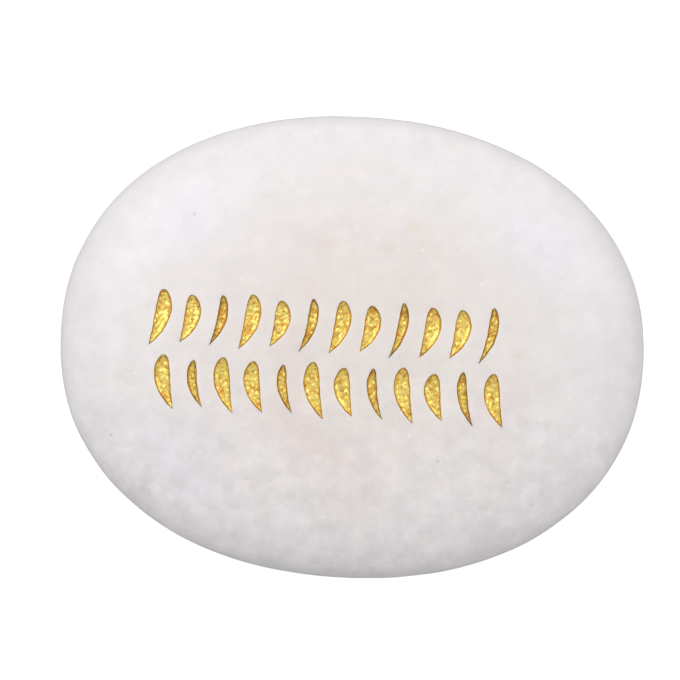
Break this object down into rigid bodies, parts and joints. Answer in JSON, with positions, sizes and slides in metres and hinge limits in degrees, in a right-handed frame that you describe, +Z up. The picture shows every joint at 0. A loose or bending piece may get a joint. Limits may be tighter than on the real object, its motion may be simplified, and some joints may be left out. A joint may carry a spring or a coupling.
{
  "type": "engraved stone",
  "caption": "Oval tumbled white marble pebble with rows of shallow gold-painted strokes cut into its crown.",
  "frame": {"origin": "middle of the small worn flat under the stone, on the surface that it lies on", "axes": "+X along the stone's length and its rows of strokes, +Y across it, +Z up through the engraved crown"},
  "size_m": [0.064, 0.0506, 0.017],
  "materials": {
    "stone": "polished white crystalline marble",
    "gold_paint": "gold paint brushed into the cut strokes"
  },
  "bodies": {
    "root": {"engraved_stone": "stone"}
  },
  "joints": []
}
